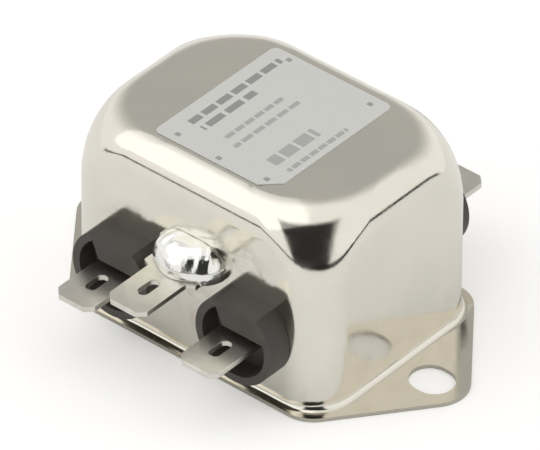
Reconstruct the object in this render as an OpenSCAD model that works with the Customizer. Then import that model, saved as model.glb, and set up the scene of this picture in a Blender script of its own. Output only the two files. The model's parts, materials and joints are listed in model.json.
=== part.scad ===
// Chassis-mount mains filter: a deep-drawn nickel-plated can with two mounting ears,
// two insulated blade terminals on each long side, an earth blade soldered to the can,
// and a common-mode choke with its capacitors potted under the crown.
// Frame: origin midway between the two ear slots on the underside, +Z out of the crown,
// +X from ear to ear, -Y the line side and +Y the load side.

/* [Can] */
// Outside length of the can, from ear to ear
case_length = 43.2; // [42:0.2:52]
// Outside width of the can, from line side to load side
case_width = 32.2; // [31.6:0.2:40]
// Height of the crown above the underside of the ears
case_height = 29.3; // [28.4:0.1:36]
// Sheet thickness
sheet_t = 0.6; // [0.4:0.05:0.8]
// Radius of the vertical corners
corner_r = 5.8; // [5:0.1:7]
// Radius between the crown and a wall, away from the corners
crown_r = 4.6; // [3.6:0.1:5.4]
// Plan radius of the corners of the flat crown
crown_corner_r = 10; // [8:0.1:10.6]
// Depth below the crown that the drawn ball of each corner reaches
corner_drop = 11; // [8:0.1:12]
// Length of wall over which a corner's ball fades out
blend_reach = 3.6; // [2:0.2:7]

/* [Flange and ears] */
// Distance between the two ear slots
hole_spacing = 54; // [53:0.5:64]
// Width of each ear slot
slot_w = 5.6; // [4.2:0.1:6]
// End-to-end length of each ear slot
slot_l = 6.3; // [6.1:0.1:7]
// Radius of the ear tips
ear_r = 5; // [4.6:0.1:6.5]
// Slope of the ear edges away from the can's side
ear_angle = 38; // [32:1:44]
// Lip of the flange beyond the side walls
flange_lip = 1.1; // [0.9:0.1:2]
// Radius of the flange where its lip turns into an ear
flange_corner_r = 5; // [3:0.5:7]
// Outside radius at the foot of the long walls
root_r = 0.7; // [0.5:0.1:0.8]
// Outside radius at the foot of the end walls, next to the ears
ear_root_r = 1.1; // [0.6:0.1:1.4]

/* [Terminals] */
// Distance between the two blades of a side
tab_pitch = 20.8; // [20:0.2:24]
// Height of the blades' centre plane above the underside
terminal_z = 10; // [9:0.1:12]
// Width of the blades
tab_w = 6.3; // [4.8:0.1:6.3]
// Thickness of the blades
tab_t = 0.8; // [0.5:0.1:1]
// Reach of the insulated blades beyond the wall
tab_reach = 11.1; // [10:0.1:14]
// Corner cut at the blade tips
tab_chamfer = 1.1; // [0.5:0.1:1.5]
// Width of the slot in each blade
tab_slot_w = 1.6; // [1:0.1:2]
// End-to-end length of the slot in each blade
tab_slot_l = 3.6; // [2.5:0.1:4.5]
// Distance from a blade's tip to the middle of its slot
tab_slot_from_tip = 5; // [4:0.1:6]
// Width of the shoulders that stop the blade inside the wall
shoulder_w = 8.4; // [7.2:0.1:9]
// Length of the shoulders
shoulder_l = 1.3; // [1:0.1:1.6]
// Width of the solder lug inside
lug_w = 4.4; // [3.6:0.1:5]
// Length of the solder lug inside
lug_l = 2.4; // [2.2:0.1:3]
// Diameter of the wire hole in the lug
lug_hole_d = 1.6; // [1.4:0.1:1.8]

/* [Insulators] */
// Radius of the cup outside the wall
cup_r = 6.3; // [5.9:0.1:6.8]
// Length of the cup outside the wall
cup_l = 3.65; // [3:0.05:5]
// Height of the flat on the cup above its centre
cup_flat = 5.1; // [4.6:0.1:5.4]
// Radius of the recess in the cup
recess_r = 5.15; // [4.6:0.05:5.4]
// Depth of the recess in the cup
recess_d = 3; // [2:0.1:3.2]
// Height of the key's lower face above the centre
key_y = 1.5; // [1:0.05:2.5]
// Start of the key across the recess
key_x = -2.1; // [-3:0.1:-1]
// Lean of the key's free side over the height of the recess
key_lean = 2; // [1:0.1:3]
// Setback of the key's face from the cup's rim
key_setback = 0.25; // [0.1:0.05:0.6]
// Radius of the neck that passes through the wall
neck_r = 4.9; // [4.7:0.1:5.1]
// Radius of the snap ring inside the wall
snap_r = 5.4; // [5.2:0.1:5.7]
// Length of the snap ring
snap_l = 1.3; // [1:0.1:1.6]

/* [Earth blade] */
// Height of the earth blade's underside
earth_z = 15.2; // [14.6:0.1:18]
// Reach of the earth blade beyond the wall
earth_reach = 12.9; // [11:0.1:15]
// Width of the earth blade's root
earth_root_w = 8.6; // [8:0.1:9]
// Length of the earth blade's root
earth_root_l = 4.4; // [3.6:0.1:5]
// Height of the foot that stands against the wall
earth_foot_h = 3.2; // [2.6:0.1:3.6]
// Radius inside the bend of the earth blade
earth_bend_r = 0.5; // [0.3:0.1:0.8]
// Radius of the solder bead
solder_r = 3.9; // [3:0.1:4]
// Length of the solder bead beyond its two rounded ends
solder_l = 3.4; // [1:0.1:3.6]
// How far the middle of the bead bulges over the blade
solder_bulge = 1.2; // [0.5:0.1:1.4]
// Offset of the bead along the wall
solder_x = 0.5; // [-0.5:0.1:1]
// How far the bead runs down past the blade's edges
solder_skirt = 0.5; // [0.2:0.1:0.7]

/* [Label and base] */
// Size of the label along X
label_x = 19.8; // [12:0.1:21]
// Size of the label along Y
label_y = 23.8; // [12:0.1:24]
// Thickness of the label
label_t = 0.1; // [0.05:0.01:0.2]
// Radius of the label's corners
label_r = 1; // [0.5:0.1:2]
// Cut across the label's one keyed corner
label_cut = 2.4; // [1.6:0.1:3.5]
// Offset of the label along X
label_dx = 0.4; // [-1:0.1:1]
// Offset of the label along Y
label_dy = -0.2; // [-0.4:0.1:0.4]
// Thickness of the board that closes the can's mouth
base_t = 0.8; // [0.5:0.1:0.9]
// Recess of the board above the underside
base_recess = 0.4; // [0.2:0.1:0.4]

/* [Potting] */
// Depth of resin over the parts under the crown
crown_gap = 2; // [1:0.1:2.4]
// Space between the snap rings and the resin
snap_gap = 0.5; // [0.3:0.1:1]

/* [Choke] */
// Outside diameter of the ring core
core_od = 19; // [17:0.5:19.5]
// Inside diameter of the ring core
core_id = 11; // [10.6:0.2:11.4]
// Height of the ring core
core_h = 8; // [6:0.2:8.2]
// Bevel on the core's edges
core_bevel = 0.5; // [0.3:0.1:0.8]
// Diameter of the winding wire
wire_d = 1; // [0.7:0.1:1]
// Turns of each winding
turns = 9; // [6:1:9]
// Angle that each winding covers on the core
winding_arc = 144; // [120:2:144]
// Straight length of wire below the choke
riser_l = 1.5; // [1.4:0.1:1.8]
// Thickness of the divider between the windings
divider_t = 1.2; // [0.8:0.1:1.4]
// Offset of the choke from the centre, towards the live side
choke_dx = 8.5; // [8.2:0.1:9]

/* [Capacitors and resistor] */
// Thickness of the film capacitor across the line
film_x = 7; // [5:0.1:7.4]
// Length of the film capacitor
film_y = 18; // [16:0.1:18.6]
// Length of bare lead under the film capacitor
film_lead_l = 1.6; // [1.2:0.1:2]
// Distance between the film capacitor's leads
film_lead_pitch = 15; // [12:0.5:15]
// Offset of the film capacitor from the centre
film_dx = 8.7; // [8.5:0.1:9]
// Diameter of the disc capacitors to earth
disc_d = 8; // [6:0.1:8.4]
// Thickness of the disc capacitors
disc_t = 3; // [2:0.1:3.2]
// Distance between a disc capacitor's leads
disc_lead_pitch = 5; // [4:0.1:5.4]
// Offset of the disc capacitors from the centre
disc_dx = 16.4; // [16:0.1:16.8]
// Distance of each disc capacitor from the centre line
disc_dy = 6; // [5.6:0.1:6.4]
// Diameter of the component leads
lead_d = 0.8; // [0.5:0.1:0.8]
// Height of the lead ends above the blades' centre plane
lead_end_h = 1.6; // [1.3:0.1:2]
// Depth of the upper link wires below the blades' centre plane
link_drop = 1.9; // [1.7:0.1:2.4]
// Depth of the lower link wire below the upper ones
low_link_drop = 2; // [1.6:0.1:2.4]
// Diameter of the bleed resistor's body
resistor_d = 2.4; // [1.8:0.1:2.6]
// Length of the bleed resistor's body
resistor_l = 6.5; // [5:0.1:7]

/* [Hidden] */
$fn = 72;

// Clearances
fit_gap = 0.1;      // neck in its hole, pieces in the potting
blade_gap = 0.05;   // blade in its slot
wire_gap = 0.1;     // winding over the core
board_gap = 0.2;    // board inside the can's mouth
over = 1;           // extra length of a cutting tool

half_l = case_length / 2;
half_w = case_width / 2;
tab_x = tab_pitch / 2;
slot_end = (slot_l - slot_w) / 2;
SIDES = [-1, 1];

// Stations around a quarter of the can: [run along the wall, angle on the corner]
corner_steps = 10;
reach_steps = 3;
STATIONS = concat(
    [for (i = [reach_steps : -1 : 1]) [-i / reach_steps, 0]],
    [for (i = [0 : corner_steps]) [0, 90 * i / corner_steps]],
    [for (i = [1 : reach_steps]) [i / reach_steps, 90]]);
QUADRANTS = [[1, 1], [-1, 1], [-1, -1], [1, -1]];
crown_steps = 10;
root_steps = 4;

// Insulator and blade, measured outwards from the wall's outer face
snap_out = -sheet_t - fit_gap;
snap_in = snap_out - snap_l;
shoulder_out = snap_in - blade_gap;
shoulder_in = shoulder_out - shoulder_l;
lug_in = shoulder_in - lug_l;
lug_hole_u = shoulder_in - lug_l / 2;
lug_y = half_w + lug_hole_u;
lug_foot_x = lug_w / 2 - lead_d / 2 - 0.3;

// Potting and the parts that hang in it
potting_z = terminal_z + snap_r + snap_gap;
wire_r = wire_d / 2;
turn_in = core_id / 2 - wire_gap - wire_r;
turn_out = core_od / 2 + wire_gap + wire_r;
turn_h = core_h / 2 + wire_gap + wire_r;
choke_half_h = turn_h + wire_r;
choke_z = case_height - sheet_t - crown_gap - choke_half_h;
choke_r = turn_out + wire_r;
film_top = case_height - sheet_t - crown_gap;
lead_end_z = terminal_z + lead_end_h;
film_base = lead_end_z + film_lead_l;
link_z = terminal_z - link_drop;
low_link_z = link_z - low_link_drop;
resistor_z = film_base - fit_gap - resistor_d / 2;
disc_z = potting_z + disc_d / 2;

// ---- shared functions and helpers ----

function unit(v) = v / norm(v);

// Place of a station in plan, on a rounded rectangle of half sizes hx, hy and corner r
function station_xy(hx, hy, r, s) =
    s[0] < 0 ? [hx, hy - r + s[0] * min(blend_reach, hy - r - 0.2)]
    : s[0] > 0 ? [hx - r - s[0] * min(blend_reach, hx - r - 0.2), hy]
    : [hx - r + r * cos(s[1]), hy - r + r * sin(s[1])];

// Share of the corner's ball at a station: 1 on the diagonal, 0 where the wall is plain
function station_share(r, s) =
    let (arc = r * PI / 4,
         away = s[0] == 0 ? r * abs(s[1] - 45) * PI / 180 : arc + abs(s[0]) * blend_reach)
    pow(cos(90 * away / (arc + blend_reach)), 2);

// A closed ring of points, anticlockwise from above. It lies drop below z, ball_drop below
// it where the corners' balls are full, and side_drop more on the long walls
function ring(hx, hy, r, z, drop = 0, ball_drop = 0, side_drop = 0) =
    [for (q = [0 : 3]) for (k = [0 : len(STATIONS) - 1])
        let (s = STATIONS[q % 2 == 0 ? k : len(STATIONS) - 1 - k],
             p = station_xy(hx, hy, r, s),
             share = station_share(r, s),
             down = drop + share * (ball_drop - drop) + side_drop * pow(sin(s[1]), 2))
        [QUADRANTS[q][0] * p[0], QUADRANTS[q][1] * p[1], z - down]];

// Rings of the crown, from the walls (angle 0) up to the flat (angle 90)
function crown_rings(inset) =
    [for (i = [0 : crown_steps])
        let (a = 90 * i / crown_steps, in = 1 - cos(a), down = 1 - sin(a),
             edge = crown_r - inset, r0 = corner_r - inset)
        ring(half_l - inset - edge * in, half_w - inset - edge * in,
             r0 + (crown_corner_r - r0) * in, case_height - inset,
             edge * down, (corner_drop - inset) * down)];

// Rings that flare from the walls out to the flange
function root_rings(inset, base_z) =
    [for (i = [root_steps : -1 : 0])
        let (a = 90 * i / root_steps, out = 1 - cos(a), up = 1 - sin(a))
        flat_ring(inset, out, base_z + (ear_root_r + inset) * up, (ear_root_r - root_r) * up)];

// A ring that stands off the walls by a share of the root radii, or inside them
function flat_ring(inset, share, z, side_drop = 0) =
    let (end = (ear_root_r + inset) * share - inset, side = (root_r + inset) * share - inset)
    ring(half_l + end, half_w + side, corner_r + (end + side) / 2, z, 0, 0, side_drop);

// A solid through a stack of rings that all have the same number of points
module skin(rings) {
    m = len(rings[0]);
    last = len(rings) - 1;
    hub = (last + 1) * m;
    polyhedron(
        points = concat([for (r = rings) each r], [middle(rings[0]), middle(rings[last])]),
        faces = concat(
            [for (i = [0 : m - 1]) [i, (i + 1) % m, hub]],
            [for (j = [0 : last - 1]) for (i = [0 : m - 1]) for (half = [0, 1])
                let (a = j * m + i, b = j * m + (i + 1) % m)
                half == 0 ? [a, a + m, b + m] : [a, b + m, b]],
            [for (i = [0 : m - 1]) [last * m + (i + 1) % m, last * m + i, hub + 1]]));
}
function middle(r) = [for (p = r) 1] * r / len(r);

// A round wire along a path of points
function heading(p, i) = unit(
    (i < len(p) - 1 ? unit(p[i + 1] - p[i]) : [0, 0, 0]) + (i > 0 ? unit(p[i] - p[i - 1]) : [0, 0, 0]));
function turned(side, d) = unit(side - d * (side * d));
module wire(path, d, sides = 6) {
    start = heading(path, 0);
    first = unit(cross(start, abs(start[2]) > 0.8 ? [1, 0, 0] : [0, 0, 1]));
    across = [for (i = 0, s = first; i < len(path);
        i = i + 1, s = i < len(path) ? turned(s, heading(path, i)) : s) s];
    skin([for (i = [0 : len(path) - 1])
        let (up = cross(heading(path, i), across[i]))
        [for (k = [0 : sides - 1])
            path[i] + d / 2 * (cos(360 * k / sides) * across[i] + sin(360 * k / sides) * up)]]);
}

// Places children on the outer face of the line wall (side -1) or load wall (side 1);
// their +Z then points out of the wall and their +Y up
module on_wall(side, x, z) {
    translate([x, side * half_w, z]) rotate([90, 0, side > 0 ? 180 : 0]) children();
}

module rounded_rect(x, y, r) {
    square([x - 2 * r, y], center = true);
    square([x, y - 2 * r], center = true);
    for (sx = SIDES, sy = SIDES) translate([sx * (x / 2 - r), sy * (y / 2 - r)]) circle(r);
}

module long_slot(length, width) {
    square([length - width, width], center = true);
    for (s = SIDES) translate([s * (length - width) / 2, 0]) circle(width / 2);
}

// ---- can ----

// Outline of flange and ears: tangent lines between the ear tips and the flange corners
module flange_outline() {
    out = [cos(ear_angle), sin(ear_angle)];
    tip = [hole_spacing / 2, 0];
    corner_y = half_w + flange_lip - flange_corner_r;
    corner = [tip[0] + (ear_r - flange_corner_r - out[1] * corner_y) / out[0], corner_y];
    quarter = [tip + ear_r * out, corner + flange_corner_r * out, corner + [0, flange_corner_r]];
    polygon([for (q = [0 : 3]) for (k = [0 : 2])
        let (p = quarter[q % 2 == 0 ? k : 2 - k]) [QUADRANTS[q][0] * p[0], QUADRANTS[q][1] * p[1]]]);
    for (s = SIDES) translate([s * tip[0], 0]) circle(ear_r);
    for (q = QUADRANTS) translate([q[0] * corner[0], q[1] * corner[1]]) circle(flange_corner_r);
}

module case() {
    color([0.80, 0.79, 0.75]) difference() {
        union() {
            linear_extrude(sheet_t) difference() {
                flange_outline();
                for (s = SIDES) translate([s * hole_spacing / 2, 0]) long_slot(slot_l, slot_w);
            }
            skin(concat([flat_ring(0, 1, sheet_t / 2)], root_rings(0, sheet_t), crown_rings(0)));
        }
        skin(concat([flat_ring(sheet_t, 1, -over)], root_rings(sheet_t, 0),
            crown_rings(sheet_t)));
        for (side = SIDES, s = SIDES) on_wall(side, s * tab_x, terminal_z)
            translate([0, 0, -sheet_t - over]) cylinder(r = neck_r + fit_gap, h = sheet_t + 2 * over);
    }
}

module base_board() {
    inset = sheet_t + board_gap;
    color([0.16, 0.15, 0.14]) translate([0, 0, base_recess]) linear_extrude(base_t)
        rounded_rect(case_length - 2 * inset, case_width - 2 * inset, corner_r - inset);
}

module label() {
    cut_x = label_x / 2 - label_cut;
    color([0.88, 0.89, 0.88]) translate([label_dx, label_dy, case_height])
        linear_extrude(label_t) difference() {
            rounded_rect(label_x, label_y, label_r);
            polygon([[cut_x, -label_y / 2 - over], [label_x / 2 + over, -label_y / 2 - over],
                [label_x / 2 + over, label_cut - label_y / 2], [label_x / 2, label_cut - label_y / 2],
                [cut_x, -label_y / 2]]);
        }
}

// ---- terminals ----

module key_outline() {
    polygon([[key_x, key_y], [cup_r, key_y], [cup_r, cup_r], [key_x - key_lean, cup_r]]);
}

// Moulded cup with a keyed recess, a neck through the wall and a snap ring inside it
module insulator() {
    slot_w_in = tab_w + 2 * blade_gap;
    slot_t_in = tab_t + 2 * blade_gap;
    color([0.15, 0.15, 0.14]) difference() {
        union() {
            difference() {
                cylinder(r = cup_r, h = cup_l);
                translate([-cup_r, cup_flat, -over]) cube([2 * cup_r, cup_r, cup_l + 2 * over]);
            }
            rotate_extrude() polygon([[0, snap_in], [neck_r - 0.3, snap_in],
                [snap_r, snap_out - snap_l / 2], [snap_r, snap_out], [neck_r, snap_out],
                [neck_r, 0], [0, 0]]);
        }
        translate([0, 0, cup_l - recess_d]) linear_extrude(recess_d + over) difference() {
            circle(recess_r);
            key_outline();
        }
        translate([0, 0, cup_l - key_setback]) linear_extrude(key_setback + over) intersection() {
            circle(recess_r);
            key_outline();
        }
        translate([-slot_w_in / 2, -slot_t_in / 2, snap_in - over])
            cube([slot_w_in, slot_t_in, cup_l - snap_in + 2 * over]);
    }
}

module blade_slot(reach) {
    translate([0, reach - tab_slot_from_tip]) rotate(90) long_slot(tab_slot_l, tab_slot_w);
}

// Plated blade: tip outside, shoulders against the snap ring and a solder lug inside
module tab() {
    tip_w = tab_w / 2 - tab_chamfer;
    color([0.78, 0.77, 0.72]) translate([0, tab_t / 2, 0]) rotate([90, 0, 0])
        linear_extrude(tab_t) difference() {
            polygon([[-tip_w, tab_reach], [-tab_w / 2, tab_reach - tab_chamfer],
                [-tab_w / 2, shoulder_out], [-shoulder_w / 2, shoulder_out],
                [-shoulder_w / 2, shoulder_in], [-lug_w / 2, shoulder_in], [-lug_w / 2, lug_in],
                [lug_w / 2, lug_in], [lug_w / 2, shoulder_in], [shoulder_w / 2, shoulder_in],
                [shoulder_w / 2, shoulder_out], [tab_w / 2, shoulder_out],
                [tab_w / 2, tab_reach - tab_chamfer], [tip_w, tab_reach]]);
            blade_slot(tab_reach);
            translate([0, lug_hole_u]) circle(lug_hole_d / 2);
        }
}

// Side profile of the earth blade: foot up the wall, bend, blade straight out
module earth_profile() {
    outer_r = earth_bend_r + tab_t;
    difference() {
        union() {
            square([earth_reach, tab_t]);
            square([tab_t, earth_foot_h]);
            square(outer_r);
        }
        translate([outer_r, outer_r]) circle(earth_bend_r);
        difference() {
            square(outer_r);
            translate([outer_r, outer_r]) circle(outer_r);
        }
    }
}

module earth_tab() {
    root = earth_root_w / 2;
    shoulder = root - tab_w / 2;
    tip_w = tab_w / 2 - tab_chamfer;
    color([0.80, 0.78, 0.72]) intersection() {
        translate([-root, -half_w, earth_z]) rotate([90, 0, 90]) mirror([1, 0, 0])
            linear_extrude(earth_root_w) earth_profile();
        translate([0, -half_w, earth_z - over]) mirror([0, 1, 0])
            linear_extrude(earth_foot_h + 2 * over) difference() {
                polygon([[-tip_w, earth_reach], [-tab_w / 2, earth_reach - tab_chamfer],
                    [-tab_w / 2, earth_root_l], [-root, earth_root_l - shoulder / 2], [-root, -over],
                    [root, -over], [root, earth_root_l - shoulder / 2], [tab_w / 2, earth_root_l],
                    [tab_w / 2, earth_reach - tab_chamfer], [tip_w, earth_reach]]);
                blade_slot(earth_reach);
            }
    }
}

// Solder bead over the foot and the root of the earth blade
module earth_solder() {
    top_z = earth_z + tab_t;
    block = 2 * solder_r;
    color([0.86, 0.86, 0.84]) difference() {
        hull() {
            for (s = SIDES) translate([solder_x + s * solder_l / 2, -half_w, top_z])
                sphere(solder_r, $fn = 28);
            translate([solder_x, -half_w - solder_bulge, top_z]) sphere(solder_r * 0.95, $fn = 28);
        }
        translate([-2 * block, -half_w, top_z - block]) cube([4 * block, block, 2 * block]);
        translate([-2 * block, -half_w - block, top_z - solder_skirt - block])
            cube([4 * block, 2 * block, block]);
        earth_tab();
    }
}

// ---- inside the can ----

// Resin under the crown, with pockets open downwards for the parts it holds
module potting_compound() {
    inset = sheet_t + fit_gap;
    color([0.12, 0.12, 0.13]) difference() {
        skin(concat([flat_ring(inset, 0, potting_z)], crown_rings(inset)));
        translate([-choke_dx, 0, potting_z - over])
            cylinder(r = choke_r + 3 * fit_gap, h = choke_z + choke_half_h + fit_gap - potting_z + over);
        translate([film_dx - film_x / 2 - fit_gap, -film_y / 2 - fit_gap, potting_z - over])
            cube([film_x + 2 * fit_gap, film_y + 2 * fit_gap, film_top + fit_gap - potting_z + over]);
        for (s = SIDES) translate([disc_dx, s * disc_dy, disc_z]) disc_pocket();
    }
}

module disc_pocket() {
    r = disc_d / 2 + fit_gap;
    translate([-disc_t / 2 - fit_gap, 0, 0]) {
        rotate([0, 90, 0]) cylinder(r = r, h = disc_t + 2 * fit_gap);
        translate([0, -r, potting_z - disc_z - over])
            cube([disc_t + 2 * fit_gap, 2 * r, disc_z - potting_z + over]);
    }
}

module choke_core() {
    color([0.22, 0.23, 0.24]) translate([-choke_dx, 0, choke_z]) rotate_extrude() {
        inner = core_id / 2;
        outer = core_od / 2;
        h = core_h / 2;
        polygon([[inner + core_bevel, -h], [outer - core_bevel, -h], [outer, -h + core_bevel],
            [outer, h - core_bevel], [outer - core_bevel, h], [inner + core_bevel, h],
            [inner, h - core_bevel], [inner, -h + core_bevel]]);
    }
}

module choke_divider() {
    reach = sqrt(pow(core_id / 2, 2) - pow(divider_t / 2, 2)) - blade_gap;
    color([0.85, 0.83, 0.75]) translate([-choke_dx - divider_t / 2, -reach, choke_z - choke_half_h])
        cube([divider_t, 2 * reach, 2 * choke_half_h]);
}

// One winding: out of the line lug, round the core and down to the load lug
module winding(x_sign, lug_x) {
    bend = wire_r;
    step = winding_arc / (turns - 1);
    function at(r, i, z) = let (a = -winding_arc / 2 + step * i)
        [x_sign * r * cos(a) - choke_dx, r * sin(a), choke_z + z];
    function hop(i, share) = i < turns - 1 ? i + share : i;
    riser = at(turn_out, 0, 0);
    riser_z = choke_z - turn_h - riser_l;
    path = concat(
        [[lug_x, -lug_y, terminal_z - 1.4], [lug_x, -lug_y, lead_end_z]],
        [[riser[0], riser[1], riser_z]],
        [for (i = [0 : turns - 1]) for (p = [
            at(turn_out, i, bend - turn_h), at(turn_out, i, turn_h - bend),
            at(turn_out - bend, i, turn_h), at(turn_in + bend, i, turn_h),
            at(turn_in, i, turn_h - bend), at(turn_in, i, bend - turn_h),
            at(turn_in + bend, hop(i, 0.2), -turn_h), at(turn_out - bend, hop(i, 0.8), -turn_h)]) p],
        [[riser[0], -riser[1], riser_z]],
        [[lug_x, lug_y, lead_end_z], [lug_x, lug_y, terminal_z - 1.4]]);
    color([0.72, 0.38, 0.20]) wire(path, wire_d);
}

module film_capacitor() {
    color([0.85, 0.72, 0.22]) translate([film_dx, 0, 0]) {
        translate([-film_x / 2, -film_y / 2, film_base]) cube([film_x, film_y, film_top - film_base]);
        for (s = SIDES) translate([0, s * film_lead_pitch / 2, lead_end_z])
            cylinder(d = lead_d, h = film_lead_l + lead_d, $fn = 24);
    }
}

module disc_capacitor(side) {
    color([0.20, 0.42, 0.68]) translate([disc_dx, side * disc_dy, 0]) {
        translate([-disc_t / 2, 0, disc_z]) rotate([0, 90, 0]) cylinder(d = disc_d, h = disc_t);
        for (s = SIDES) translate([0, s * disc_lead_pitch / 2, lead_end_z])
            cylinder(d = lead_d, h = disc_z - disc_d / 4 - lead_end_z, $fn = 24);
    }
}

module bleed_resistor() {
    span = film_lead_pitch - lead_d - 2 * blade_gap;
    color([0.55, 0.66, 0.72]) translate([film_dx, 0, resistor_z]) rotate([90, 0, 0]) {
        cylinder(d = resistor_d, h = resistor_l, center = true);
        cylinder(d = lead_d * 0.75, h = span, center = true, $fn = 24);
    }
}

// A link from the end of a component lead to the underside of a solder lug
module link(lead_x, lead_y, lug_x, lug_side, run_z) {
    foot_y = lug_side * (lug_y - 0.2);
    color([0.15, 0.2, 0.45]) wire([[lead_x, lead_y, lead_end_z], [lead_x, lead_y, run_z + 0.4],
        [lead_x + (lug_x > lead_x ? 0.4 : -0.4), lead_y, run_z],
        [lug_x, foot_y - lug_side * 2, run_z], [lug_x, foot_y - lug_side * 0.5, run_z],
        [lug_x, foot_y, run_z + 0.5], [lug_x, foot_y, terminal_z - tab_t / 2]], lead_d);
}

// The two discs' inner leads joined, and the short wire from there to the wall
module disc_common_wire() {
    y = disc_dy - disc_lead_pitch / 2;
    color([0.25, 0.5, 0.25]) wire([[disc_dx, -y, lead_end_z], [disc_dx, -y, link_z + 0.4],
        [disc_dx, -y + 0.4, link_z], [disc_dx, y - 0.4, link_z],
        [disc_dx, y, link_z + 0.4], [disc_dx, y, lead_end_z]], lead_d);
}

module earth_wire() {
    start = disc_dx + lead_d / 2 + blade_gap;
    color([0.25, 0.5, 0.25]) translate([start, 0, link_z]) rotate([0, 90, 0])
        cylinder(d = lead_d, h = half_l - sheet_t - start, $fn = 24);
}

// ---- nodes ----

case();
base_board();
label();
on_wall(-1, -tab_x, terminal_z) insulator();  // line_insulator_live
on_wall(-1, tab_x, terminal_z) insulator();  // line_insulator_neutral
on_wall(1, -tab_x, terminal_z) insulator();  // load_insulator_live
on_wall(1, tab_x, terminal_z) insulator();  // load_insulator_neutral
on_wall(-1, -tab_x, terminal_z) tab();  // line_tab_live
on_wall(-1, tab_x, terminal_z) tab();  // line_tab_neutral
on_wall(1, -tab_x, terminal_z) tab();  // load_tab_live
on_wall(1, tab_x, terminal_z) tab();  // load_tab_neutral
earth_tab();
earth_solder();
potting_compound();
choke_core();
choke_divider();
winding(-1, -tab_x);  // winding_live
winding(1, tab_x);  // winding_neutral
film_capacitor();
disc_capacitor(-1);  // disc_capacitor_live
disc_capacitor(1);  // disc_capacitor_neutral
bleed_resistor();
link(film_dx, film_lead_pitch / 2, -tab_x - lug_foot_x, -1, link_z);  // film_link_live
link(film_dx, -film_lead_pitch / 2, tab_x - lug_foot_x, -1, link_z);  // film_link_neutral
link(disc_dx, -disc_dy - disc_lead_pitch / 2, -tab_x - lug_foot_x, 1, low_link_z);  // disc_link_live
link(disc_dx, disc_dy + disc_lead_pitch / 2, tab_x + lug_foot_x, 1, link_z);  // disc_link_neutral
disc_common_wire();
earth_wire();
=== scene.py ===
import json
import math

import bmesh
import bpy
from mathutils import Matrix, Vector

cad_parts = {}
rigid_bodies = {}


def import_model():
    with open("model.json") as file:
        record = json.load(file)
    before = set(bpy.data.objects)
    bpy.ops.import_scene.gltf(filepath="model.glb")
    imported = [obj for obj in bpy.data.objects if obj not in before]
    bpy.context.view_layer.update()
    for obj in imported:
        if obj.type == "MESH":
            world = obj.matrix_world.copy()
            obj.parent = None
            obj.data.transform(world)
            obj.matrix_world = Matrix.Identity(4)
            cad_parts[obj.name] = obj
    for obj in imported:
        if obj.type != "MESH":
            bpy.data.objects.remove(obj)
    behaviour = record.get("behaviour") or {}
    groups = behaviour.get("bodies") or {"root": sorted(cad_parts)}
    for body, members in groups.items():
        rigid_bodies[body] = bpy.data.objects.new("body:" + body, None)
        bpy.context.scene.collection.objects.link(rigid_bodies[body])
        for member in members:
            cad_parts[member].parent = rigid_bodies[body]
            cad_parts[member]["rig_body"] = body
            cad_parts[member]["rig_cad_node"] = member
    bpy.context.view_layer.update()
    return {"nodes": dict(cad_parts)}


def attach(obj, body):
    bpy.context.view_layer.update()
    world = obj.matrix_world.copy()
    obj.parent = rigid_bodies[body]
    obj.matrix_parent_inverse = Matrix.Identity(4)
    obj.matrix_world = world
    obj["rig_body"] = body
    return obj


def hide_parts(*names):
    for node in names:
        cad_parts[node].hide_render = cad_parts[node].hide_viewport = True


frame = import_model()
nodes = frame["nodes"]
MM = 0.001


# ---- Studio: white floor, light tent and camera ----
# The filter stands on a white table inside a white light tent. The tent has a dark slit where its
# wall meets the table, a greyer back and a dark opening for the lens, which the plated can mirrors.


class Value:
    """A socket whose number changes over a surface, so that shader maths reads as arithmetic."""

    def __init__(self, shader, socket):
        self.shader = shader
        self.socket = socket

    def math(self, operation, *others, first=None):
        values = [self if first is None else first, *others]
        return self.shader.node("ShaderNodeMath", {"operation": operation}, dict(enumerate(values)))

    def __add__(self, other):
        return self.math("ADD", other)

    __radd__ = __add__

    def __sub__(self, other):
        return self.math("SUBTRACT", other)

    def __rsub__(self, other):
        return self.math("SUBTRACT", self, first=other)

    def __mul__(self, other):
        return self.math("MULTIPLY", other)

    __rmul__ = __mul__

    def __truediv__(self, other):
        return self.math("DIVIDE", other)

    def __pow__(self, other):
        return self.math("POWER", other)

    def abs(self):
        return self.math("ABSOLUTE")

    def max(self, other):
        return self.math("MAXIMUM", other)

    def step(self, low, high):
        """0 below low, 1 above high and smooth between; with low above high it falls instead."""
        return self.shader.node(
            "ShaderNodeMapRange",
            {"interpolation_type": "SMOOTHSTEP"},
            {"Value": self, "From Min": low, "From Max": high, "To Min": 0.0, "To Max": 1.0},
        )


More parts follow.
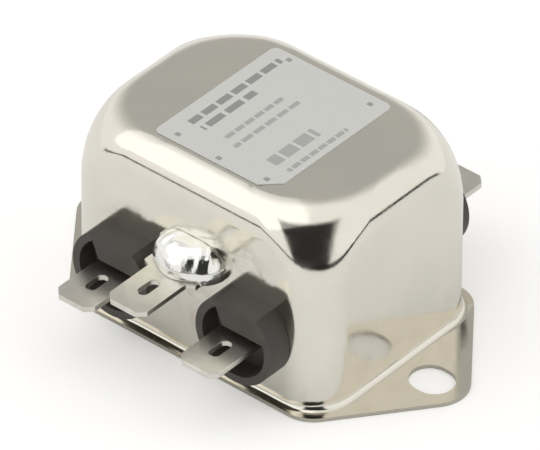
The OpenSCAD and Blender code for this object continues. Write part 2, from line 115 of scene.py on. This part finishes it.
class Shader:
    """The node tree of one material or of the world, empty at first."""

    def __init__(self, owner):
        owner.use_nodes = True
        self.tree = owner.node_tree
        self.tree.nodes.clear()

    def node(self, kind, settings=None, sockets=None, out=0):
        """Adds a node: its settings come first, then the values or links of its sockets."""
        new = self.tree.nodes.new(kind)
        for name, setting in (settings or {}).items():
            setattr(new, name, setting)
        for name, value in (sockets or {}).items():
            socket = new.inputs[name]
            if isinstance(value, Value):
                self.tree.links.new(value.socket, socket)
            elif socket.type == "RGBA" and len(value) == 3:
                socket.default_value = (*value, 1)
            else:
                socket.default_value = value
        return Value(self, new.outputs[out]) if new.outputs else new

    def mix(self, share, low, high):
        """A colour that goes from low to high."""
        return self.node(
            "ShaderNodeMix", {"data_type": "RGBA"}, {0: share, 6: low, 7: high}, out=2
        )

    def place(self):
        """Object coordinates in millimetres, as a vector and as its three parts."""
        metres = self.node("ShaderNodeTexCoord", out=3)
        vector = self.node(
            "ShaderNodeVectorMath", {"operation": "SCALE"}, {"Vector": metres, "Scale": 1000.0}
        )
        parts = [self.node("ShaderNodeSeparateXYZ", None, {0: vector}, out=i) for i in range(3)]
        return vector, *parts

    def noise(self, vector, scale, detail=3.0, roughness=0.5, distortion=0.0):
        """Soft noise from 0 to 1, with about scale spots to the millimetre."""
        return self.node(
            "ShaderNodeTexNoise",
            None,
            {
                "Vector": vector,
                "Scale": scale,
                "Detail": detail,
                "Roughness": roughness,
                "Distortion": distortion,
            },
        )

    def bump(self, height, distance, strength=1.0):
        """A normal from a height between 0 and 1, where 1 stands distance metres proud."""
        return self.node(
            "ShaderNodeBump", None, {"Height": height, "Distance": distance, "Strength": strength}
        )

    def surface(self, **sockets):
        """The one Principled shader of a material, joined to its output."""
        named = {name.replace("_", " "): value for name, value in sockets.items()}
        shader = self.node("ShaderNodeBsdfPrincipled", None, named)
        self.node("ShaderNodeOutputMaterial", None, {0: shader})


def new_material(name):
    return bpy.data.materials.new(name)


# The lens stands on the side of the earth blade, well above the can
VIEW_AZIMUTH = math.radians(40.297)
VIEW_ELEVATION = math.radians(37.602)
VIEW_ROLL = math.radians(0.248)
VIEW_DISTANCE = 1.07267
VIEW_CENTRE = Vector((0, 0, 0.012))
to_lens = Vector((
    math.sin(VIEW_AZIMUTH) * math.cos(VIEW_ELEVATION),
    -math.cos(VIEW_AZIMUTH) * math.cos(VIEW_ELEVATION),
    math.sin(VIEW_ELEVATION),
))
level = Vector((math.cos(VIEW_AZIMUTH), math.sin(VIEW_AZIMUTH), 0))
upright = to_lens.cross(level)
across = level * math.cos(VIEW_ROLL) + upright * math.sin(VIEW_ROLL)
camera_up = upright * math.cos(VIEW_ROLL) - level * math.sin(VIEW_ROLL)
lens = bpy.data.cameras.new("camera")
lens.sensor_width = 36
lens.lens = 556.28
lens.shift_x = -0.0032
lens.shift_y = -0.0008
lens.clip_end = 20
camera = bpy.data.objects.new("camera", lens)
bpy.context.scene.collection.objects.link(camera)
turn = Matrix((across, camera_up, to_lens)).transposed()
camera.matrix_world = Matrix.Translation(VIEW_CENTRE + to_lens * VIEW_DISTANCE) @ turn.to_4x4()
bpy.context.scene.camera = camera

# The tent's cloth by direction: dark slit at the table, grey back, dark opening round the lens
tent = bpy.data.worlds.new("light_tent")
bpy.context.scene.world = tent
cloth = Shader(tent)
direction = cloth.node("ShaderNodeTexCoord", out=0)
height = cloth.node("ShaderNodeSeparateXYZ", None, {0: direction}, out=2)


def along(aim):
    """The cosine of the angle between a direction and aim."""
    return cloth.node(
        "ShaderNodeVectorMath", {"operation": "DOT_PRODUCT"}, {0: direction, 1: aim}, out=1
    )


def towards(aim, near, far):
    """1 in directions within near degrees of aim, falling to 0 at far degrees."""
    return along(aim).step(math.cos(math.radians(far)), math.cos(math.radians(near)))


lens_side = Vector((to_lens.x, to_lens.y, 0)).normalized()
grey_back = towards(Vector((-0.51, 0.60, 0.61)), 22, 48)
sideways = along(level).abs()
facing = along(lens_side)
opening = sideways.step(0.40, 0.30) * height.step(0.92, 0.85) * facing.step(0.0, 0.1)
slit = height.step(0.055, 0.035) * facing.step(-0.40, -0.25)
glow = (1 - 0.50 * grey_back) * (1 - 0.97 * opening) * (1 - 0.95 * slit)
seen = cloth.node("ShaderNodeLightPath", out=0)
glow = glow * (1 - seen) + seen
tent_light = cloth.node(
    "ShaderNodeBackground", None, {"Color": (1.0, 0.985, 0.955), "Strength": glow}
)
cloth.node("ShaderNodeOutputWorld", None, {0: tent_light})

# A soft key from above the line side models the plastic and the solder
bpy.ops.object.select_all(action="DESELECT")
KEY_PLACE = Vector((-0.35, -0.35, 0.75))
bpy.ops.object.light_add(type="AREA", location=KEY_PLACE)
key = bpy.context.object
key.data.size = 1.2
key.data.energy = 1.6
key.rotation_euler = KEY_PLACE.to_track_quat("Z", "Y").to_euler()

# The table shows white to the lens, and gives the can a share of that white to mirror
TABLE_SIZE = 1.1
TABLE_WHITE = 0.30
MIRRORED_WHITE = 0.35
bpy.ops.mesh.primitive_plane_add(size=TABLE_SIZE)
table = bpy.context.object
table.location = (-0.25, -0.25, 0)
table.name = "table"
table_paint = new_material("white_table")
paint = Shader(table_paint)
lit = paint.node("ShaderNodeBsdfDiffuse", None, {"Color": (0.9, 0.9, 0.9)})
white = paint.node("ShaderNodeEmission", None, {"Color": (1, 1, 1), "Strength": TABLE_WHITE})
both = paint.node("ShaderNodeAddShader", None, {0: lit, 1: white})
camera_ray = paint.node("ShaderNodeLightPath", out=0)
glossy_ray = paint.node("ShaderNodeLightPath", out=3)
share = camera_ray.max(MIRRORED_WHITE * glossy_ray)
shown = paint.node("ShaderNodeMixShader", None, {0: share, 1: lit, 2: both})
paint.node("ShaderNodeOutputMaterial", None, {0: shown})
table.data.materials.append(table_paint)


# ---- Can ----
# One deep-drawn steel cup with its two ears, plated with satin nickel. The plating is bright enough
# to mirror the table; the sheet's cut edge round the flange stays darker.


def dress(piece, material):
    piece.data.materials.clear()
    piece.data.materials.append(material)


def merged_copy(node, name):
    """A copy of a CAD node with its loose triangles joined, ready for modifiers."""
    piece = nodes[node].copy()
    piece.data = nodes[node].data.copy()
    piece.name = name
    piece.data.name = name
    piece.parent = None
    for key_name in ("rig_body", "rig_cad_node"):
        if key_name in piece:
            del piece[key_name]
    bpy.context.scene.collection.objects.link(piece)
    mesh = bmesh.new()
    mesh.from_mesh(piece.data)
    bmesh.ops.remove_doubles(mesh, verts=mesh.verts, dist=1e-6)
    bmesh.ops.dissolve_limit(mesh, angle_limit=math.radians(0.5), verts=mesh.verts, edges=mesh.edges)
    mesh.to_mesh(piece.data)
    mesh.free()
    return piece


def finish_piece(piece, material, node):
    """Hangs a finished piece on the filter in place of its CAD node."""
    dress(piece, material)
    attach(piece, "root")
    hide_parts(node)


def apply_modifiers(piece):
    bpy.ops.object.select_all(action="DESELECT")
    bpy.context.view_layer.objects.active = piece
    piece.select_set(True)
    for modifier in list(piece.modifiers):
        bpy.ops.object.modifier_apply(modifier=modifier.name)


def soften_edges(piece, width, angle=32, segments=2):
    """Small rounds on the sharp edges, then smooth shading that keeps the flats flat."""
    bevel = piece.modifiers.new("edges", "BEVEL")
    bevel.width = width
    bevel.segments = segments
    bevel.limit_method = "ANGLE"
    bevel.angle_limit = math.radians(angle)
    bevel.use_clamp_overlap = True
    apply_modifiers(piece)
    smooth(piece, angle)


def smooth(piece, angle):
    bpy.ops.object.select_all(action="DESELECT")
    bpy.context.view_layer.objects.active = piece
    piece.select_set(True)
    bpy.ops.object.shade_smooth_by_angle(angle=math.radians(angle))
    weighted = piece.modifiers.new("flats", "WEIGHTED_NORMAL")
    weighted.keep_sharp = True
    weighted.weight = 100
    apply_modifiers(piece)


def satin_nickel():
    """Nickel plate with a faint orange peel, finger-dull patches and stains of old flux."""
    material = new_material("satin_nickel")
    plate = Shader(material)
    at, x, y, z = plate.place()
    cloudy = plate.noise(at, 0.09, 4.0, 0.6)
    dull = plate.noise(at, 0.35, 4.0, 0.6, 0.6)
    peel = plate.noise(at, 1.6, 2.0, 0.5)
    # Flux has dried in soft brown smudges beside the solder and under the earth blade
    on_front = y.step(-15.9, -16.05)

    def smudge(middle_x, middle_z, reach):
        away = ((x - middle_x) ** 2 + (z - middle_z) ** 2) ** 0.5
        return away.step(reach, 0.3 * reach)

    beside = smudge(8.5, 19.0, 6.0).max(smudge(-10.0, 14.5, 6.5)).max(smudge(1.0, 9.5, 6.0))
    streaks = plate.noise(at, 0.30, 5.0, 0.65, 0.8).step(0.42, 0.64) * beside * on_front
    colour = plate.mix(cloudy.step(0.35, 0.7), (0.80, 0.775, 0.70), (0.765, 0.745, 0.675))
    colour = plate.mix(streaks * 0.4, colour, (0.52, 0.45, 0.35))
    # The can turns a little browner in patches towards the bottom, and the ears and the lowest part
    # of the foot are browner all over
    browner_low = (0.2 * z.step(10.0, 2.0) * dull.step(0.45, 0.7)).max(0.32 * z.step(0.95, 0.7))
    colour = plate.mix(browner_low, colour, (0.58, 0.52, 0.41))
    # The cut edge of the sheet, all round the flange
    side_on = plate.node("ShaderNodeNewGeometry", out=1)
    tilt = plate.node("ShaderNodeSeparateXYZ", None, {0: side_on}, out=2)
    sheet = 0.6
    cut = z.step(sheet + 0.02, sheet - 0.02) * tilt.abs().step(0.6, 0.3)
    colour = plate.mix(cut * 0.5, colour, (0.30, 0.29, 0.25))
    rough = 0.10 + 0.07 * dull.step(0.35, 0.75) + 0.12 * streaks + 0.15 * cut
    plate.surface(
        Base_Color=colour,
        Metallic=1.0,
        Roughness=rough,
        Normal=plate.bump(peel, 0.000004),
    )
    return material


can = merged_copy("case", "drawn_can")
smooth(can, 28)
finish_piece(can, satin_nickel(), "case")


# ---- Insulators ----
# Four black moulded cups that snap into the can's walls and carry the blades. Their faces are
# finely matt from the mould, with small rounds on every edge.


def black_moulding():
    material = new_material("black_moulding")
    skin = Shader(material)
    at = skin.place()[0]
    grain = skin.noise(at, 5.0, 3.0, 0.6)
    cloudy = skin.noise(at, 0.4, 3.0)
    skin.surface(
        Base_Color=skin.mix(cloudy, (0.049, 0.044, 0.039), (0.065, 0.059, 0.052)),
        Roughness=0.42 + 0.12 * grain,
        Normal=skin.bump(grain, 0.00001),
    )
    return material


moulding = black_moulding()
for side in ("line", "load"):
    for pole in ("live", "neutral"):
        cup = merged_copy(f"{side}_insulator_{pole}", f"{side}_cup_{pole}")
        soften_edges(cup, 0.15 * MM)
        finish_piece(cup, moulding, f"{side}_insulator_{pole}")


# ---- Blades ----
# Tin-plated brass strip, blanked and so slightly rounded at the edges, with the dull, cloudy
# surface of tin that has been handled.


def tinned_strip():
    material = new_material("tinned_strip")
    plate = Shader(material)
    at = plate.place()[0]
    cloudy = plate.noise(at, 0.5, 4.0, 0.6, 0.4)
    fine = plate.noise(at, 6.0, 3.0)
    plate.surface(
        Base_Color=plate.mix(cloudy.step(0.3, 0.7), (0.76, 0.74, 0.69), (0.68, 0.66, 0.60)),
        Metallic=1.0,
        Roughness=0.22 + 0.14 * cloudy + 0.05 * fine,
        Normal=plate.bump(fine, 0.000006),
    )
    return material


tin = tinned_strip()
for node in ("line_tab_live", "line_tab_neutral", "load_tab_live", "load_tab_neutral", "earth_tab"):
    blade = merged_copy(node, node.replace("tab", "blade"))
    soften_edges(blade, 0.08 * MM)
    finish_piece(blade, tin, node)


# ---- Solder ----
# A bright bead of solder that wets the can's wall and the root of the earth blade. Its skin froze
# in small waves on the side of the wall.


def bright_solder():
    material = new_material("bright_solder")
    skin = Shader(material)
    at = skin.place()[0]
    fine = skin.noise(at, 2.5, 3.0, 0.6)
    skin.surface(
        Base_Color=(0.86, 0.86, 0.84),
        Metallic=1.0,
        Roughness=0.08 + 0.1 * fine,
        Normal=skin.bump(fine, 0.00002),
    )
    return material


# A fine even skin over the bead takes the frozen waves, which ring the dome above the blade
bead = merged_copy("earth_solder", "solder_bead")
grid = bead.modifiers.new("grid", "REMESH")
grid.mode = "VOXEL"
grid.voxel_size = 0.12 * MM
settle = bead.modifiers.new("settle", "SMOOTH")
settle.factor = 0.5
settle.iterations = 8
apply_modifiers(bead)
DOME = Vector((0.5, -18.0, 17.0))
WAVE_LENGTH, WAVE_HEIGHT = 0.85, 0.035
outward = [point.normal.copy() for point in bead.data.vertices]
for point, normal in zip(bead.data.vertices, outward):
    away = point.co / MM - DOME
    share = min(max((away.z - 0.2) / 1.2, 0), 1)
    point.co += normal * WAVE_HEIGHT * MM * share * math.sin(math.tau * away.length / WAVE_LENGTH)
smooth(bead, 60)
finish_piece(bead, bright_solder(), "earth_solder")


# ---- Label ----
# A matt silver-white foil label with one corner cut, so that it can only go on one way round. Its
# print is plain grey bars and blocks, which say nothing.


def label_foil():
    material = new_material("label_foil")
    foil = Shader(material)
    at, x, y, z = foil.place()
    fine = foil.noise(at, 3.0, 3.0)

    def bar(middle, half, start, end, block=0.0):
        """A bar along Y, broken by short gaps where it has a block length."""
        mask = (x - middle).abs().step(half, half - 0.1) * y.step(start - 0.1, start)
        mask = mask * y.step(end + 0.1, end)
        return mask * (y / block).math("FRACT").step(0.14, 0.2) if block else mask

    bold = bar(-7.0, 0.6, -7.8, 9.8, 2.9).max(bar(-5.0, 0.6, -7.7, 2.5, 3.7))
    light = bar(-1.5, 0.42, -7.6, 3.8, 1.9).max(bar(0.6, 0.42, -8.0, 4.5, 2.3))
    light = light.max(bar(9.0, 0.42, -7.4, 4.1, 1.7))
    ink = (0.62 * bold).max(0.4 * light).max(0.4 * bar(6.3, 1.0, -7.5, 1.1, 2.9))
    for mark_x, mark_y in ((-6.6, -10.7), (8.05, -10.5), (-6.2, 10.6), (7.8, 10.1), (0.6, -11.1)):
        ink = ink.max(0.55 * bar(mark_x, 0.45, mark_y - 0.3, mark_y + 0.3))
    paper = foil.mix(fine, (0.65, 0.66, 0.64), (0.69, 0.70, 0.68))
    foil.surface(
        Base_Color=foil.mix(ink, paper, (0.10, 0.10, 0.11)),
        Roughness=0.45 + 0.1 * fine,
        Normal=foil.bump(fine, 0.000003),
    )
    return material


dress(nodes["label"], label_foil())


# ---- Hidden parts ----
# The filter's inside, closed in by the can and the board: plain finishes, one for each stuff.


def plain_stuff(name, low, high, roughness, metallic):
    material = new_material(name)
    stuff = Shader(material)
    at = stuff.place()[0]
    fine = stuff.noise(at, 1.2, 4.0, 0.6)
    stuff.surface(
        Base_Color=stuff.mix(fine, low, high),
        Metallic=metallic,
        Roughness=roughness + 0.1 * fine,
        Normal=stuff.bump(fine, 0.00001),
    )
    return material


# Name of the finish: its nodes, darkest and lightest colour, roughness and metallic
HIDDEN = {
    "pressed_board": (
        ["base_board"],
        (0.02, 0.019, 0.018), (0.03, 0.028, 0.025), 0.6, 0.0,
    ),
    "casting_resin": (
        ["potting_compound"],
        (0.012, 0.012, 0.014), (0.02, 0.02, 0.022), 0.25, 0.0,
    ),
    "ferrite": (
        ["choke_core"],
        (0.03, 0.032, 0.035), (0.05, 0.052, 0.055), 0.4, 0.0,
    ),
    "fibre_strip": (
        ["choke_divider"],
        (0.68, 0.65, 0.52), (0.72, 0.69, 0.56), 0.5, 0.0,
    ),
    "enamelled_copper": (
        ["winding_live", "winding_neutral"],
        (0.62, 0.24, 0.1), (0.72, 0.32, 0.14), 0.2, 1.0,
    ),
    "capacitor_shell": (
        ["film_capacitor"],
        (0.68, 0.45, 0.05), (0.72, 0.5, 0.07), 0.3, 0.0,
    ),
    "disc_lacquer": (
        ["disc_capacitor_live", "disc_capacitor_neutral"],
        (0.03, 0.14, 0.4), (0.04, 0.17, 0.46), 0.3, 0.0,
    ),
    "resistor_lacquer": (
        ["bleed_resistor"],
        (0.26, 0.38, 0.46), (0.3, 0.42, 0.5), 0.35, 0.0,
    ),
    "blue_sleeve": (
        ["film_link_live", "film_link_neutral", "disc_link_live", "disc_link_neutral"],
        (0.02, 0.03, 0.16), (0.03, 0.04, 0.2), 0.4, 0.0,
    ),
    "green_sleeve": (
        ["disc_common_wire", "earth_wire"],
        (0.05, 0.21, 0.05), (0.06, 0.25, 0.06), 0.4, 0.0,
    ),
}
for name, (members, low, high, roughness, metallic) in HIDDEN.items():
    stuff = plain_stuff(name, low, high, roughness, metallic)
    for member in members:
        dress(nodes[member], stuff)

bpy.context.scene.view_settings.view_transform = "Standard"
